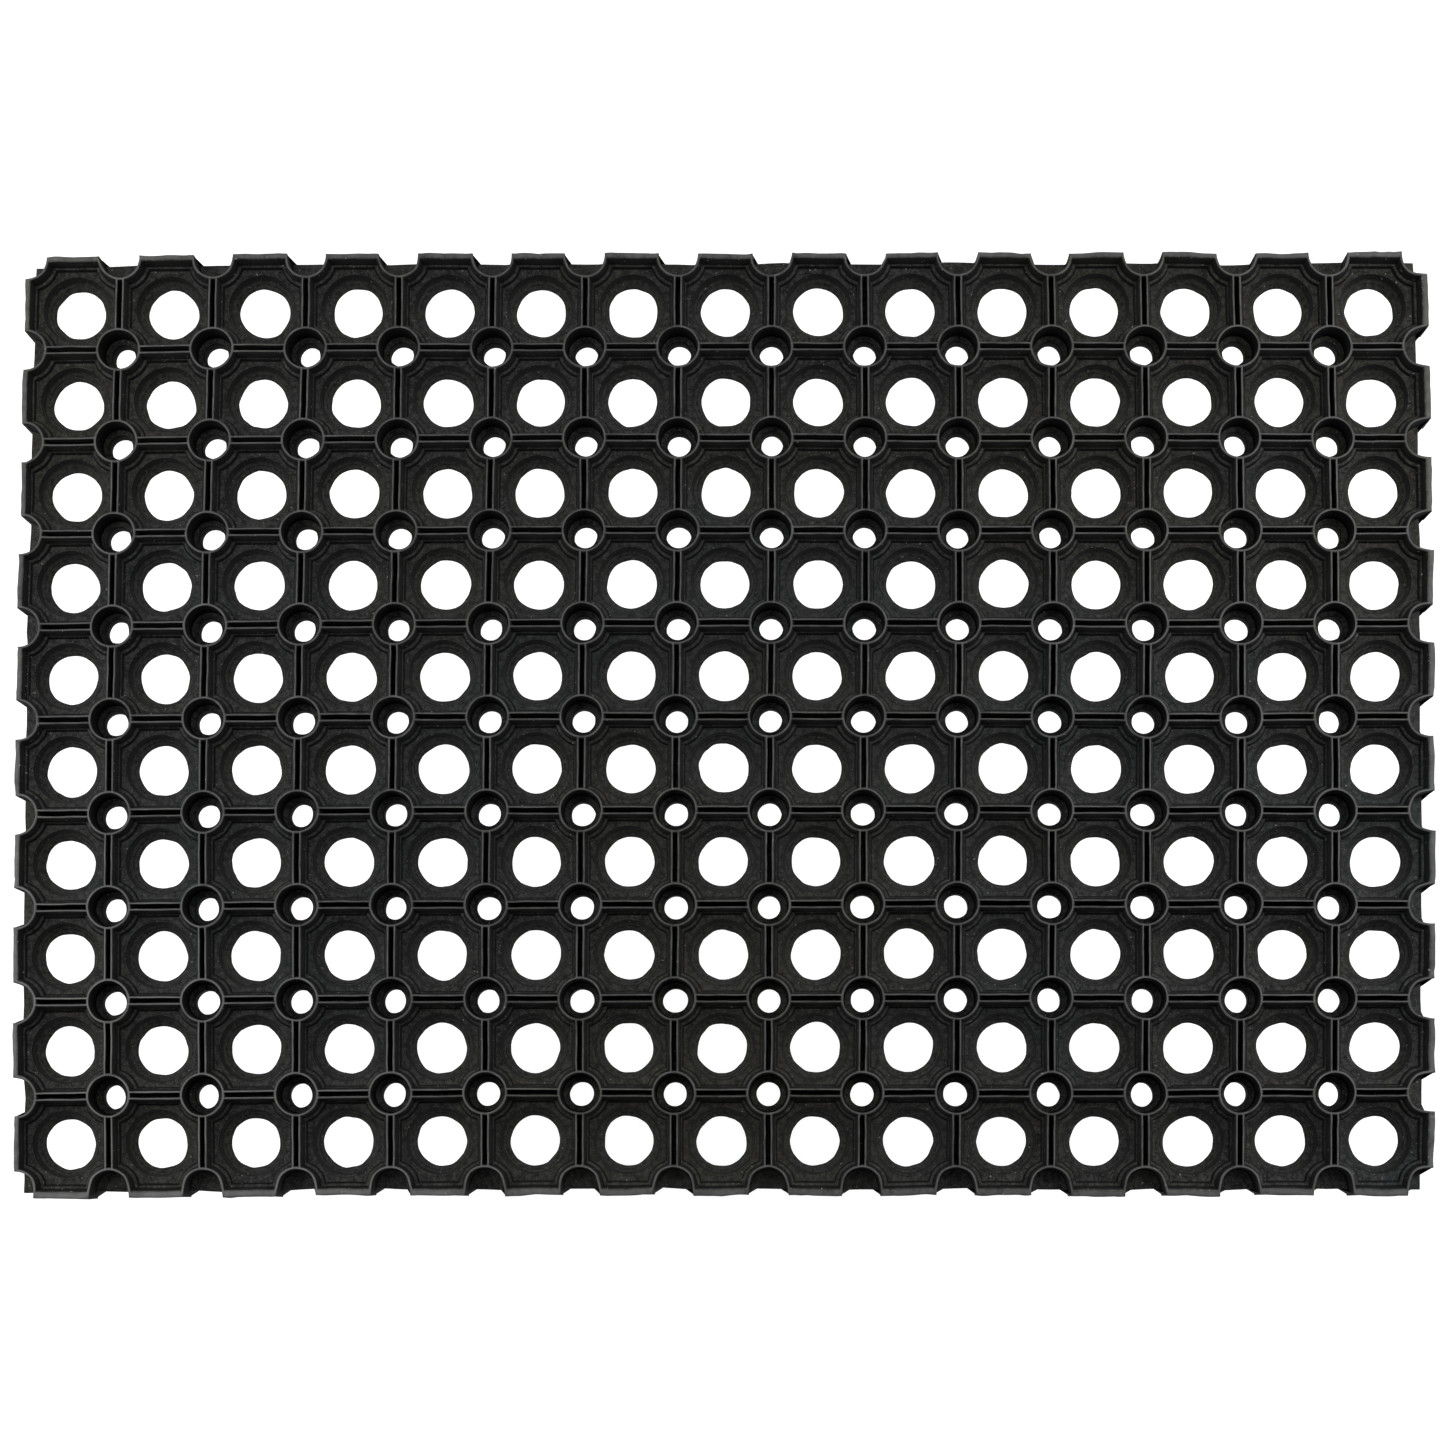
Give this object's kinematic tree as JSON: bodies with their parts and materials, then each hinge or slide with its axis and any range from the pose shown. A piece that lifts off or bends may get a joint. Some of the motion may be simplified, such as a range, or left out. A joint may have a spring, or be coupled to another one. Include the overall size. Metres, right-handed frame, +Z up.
{
  "type": "door mat",
  "caption": "Black rubber ring mat with large drain holes, stepped rings at the crossings and folding webs between its cell columns; lies flat on the floor.",
  "frame": {"origin": "middle of the underside, on the floor", "axes": "+X along the long side, +Y along the short side, +Z up"},
  "size_m": [0.6, 0.4, 0.022],
  "materials": {
    "rubber": "satin moulded black rubber, slightly mottled, with paler worn ridges and ring rims"
  },
  "bodies": {
    "column_01": {"cell_column_01": "rubber"},
    "column_02": {"cell_column_02": "rubber"},
    "column_03": {"cell_column_03": "rubber"},
    "column_04": {"cell_column_04": "rubber"},
    "column_05": {"cell_column_05": "rubber"},
    "column_06": {"cell_column_06": "rubber"},
    "column_07": {"cell_column_07": "rubber"},
    "column_08": {"cell_column_08": "rubber"},
    "column_09": {"cell_column_09": "rubber"},
    "column_10": {"cell_column_10": "rubber"},
    "column_11": {"cell_column_11": "rubber"},
    "column_12": {"cell_column_12": "rubber"},
    "column_13": {"cell_column_13": "rubber"},
    "column_14": {"cell_column_14": "rubber"},
    "column_15": {"cell_column_15": "rubber"}
  },
  "joints": [
    {"name": "web_08_09", "type": "hinge", "parent": "column_08", "child": "column_09", "pos_m": [0.02, 0, 0.009], "axis": [0, -1, 0], "range_deg": [-20, 9], "stiffness_Nm_per_rad": 4},
    {"name": "web_09_10", "type": "hinge", "parent": "column_09", "child": "column_10", "pos_m": [0.06, 0, 0.009], "axis": [0, -1, 0], "range_deg": [-20, 9], "stiffness_Nm_per_rad": 4},
    {"name": "web_10_11", "type": "hinge", "parent": "column_10", "child": "column_11", "pos_m": [0.1, 0, 0.009], "axis": [0, -1, 0], "range_deg": [-20, 9], "stiffness_Nm_per_rad": 4},
    {"name": "web_11_12", "type": "hinge", "parent": "column_11", "child": "column_12", "pos_m": [0.14, 0, 0.009], "axis": [0, -1, 0], "range_deg": [-20, 9], "stiffness_Nm_per_rad": 4},
    {"name": "web_12_13", "type": "hinge", "parent": "column_12", "child": "column_13", "pos_m": [0.18, 0, 0.009], "axis": [0, -1, 0], "range_deg": [-20, 9], "stiffness_Nm_per_rad": 4},
    {"name": "web_13_14", "type": "hinge", "parent": "column_13", "child": "column_14", "pos_m": [0.22, 0, 0.009], "axis": [0, -1, 0], "range_deg": [-20, 9], "stiffness_Nm_per_rad": 4},
    {"name": "web_14_15", "type": "hinge", "parent": "column_14", "child": "column_15", "pos_m": [0.26, 0, 0.009], "axis": [0, -1, 0], "range_deg": [-20, 9], "stiffness_Nm_per_rad": 4},
    {"name": "web_07_08", "type": "hinge", "parent": "column_08", "child": "column_07", "pos_m": [-0.02, 0, 0.009], "axis": [0, 1, 0], "range_deg": [-20, 9], "stiffness_Nm_per_rad": 4},
    {"name": "web_06_07", "type": "hinge", "parent": "column_07", "child": "column_06", "pos_m": [-0.06, 0, 0.009], "axis": [0, 1, 0], "range_deg": [-20, 9], "stiffness_Nm_per_rad": 4},
    {"name": "web_05_06", "type": "hinge", "parent": "column_06", "child": "column_05", "pos_m": [-0.1, 0, 0.009], "axis": [0, 1, 0], "range_deg": [-20, 9], "stiffness_Nm_per_rad": 4},
    {"name": "web_04_05", "type": "hinge", "parent": "column_05", "child": "column_04", "pos_m": [-0.14, 0, 0.009], "axis": [0, 1, 0], "range_deg": [-20, 9], "stiffness_Nm_per_rad": 4},
    {"name": "web_03_04", "type": "hinge", "parent": "column_04", "child": "column_03", "pos_m": [-0.18, 0, 0.009], "axis": [0, 1, 0], "range_deg": [-20, 9], "stiffness_Nm_per_rad": 4},
    {"name": "web_02_03", "type": "hinge", "parent": "column_03", "child": "column_02", "pos_m": [-0.22, 0, 0.009], "axis": [0, 1, 0], "range_deg": [-20, 9], "stiffness_Nm_per_rad": 4},
    {"name": "web_01_02", "type": "hinge", "parent": "column_02", "child": "column_01", "pos_m": [-0.26, 0, 0.009], "axis": [0, 1, 0], "range_deg": [-20, 9], "stiffness_Nm_per_rad": 4}
  ]
}
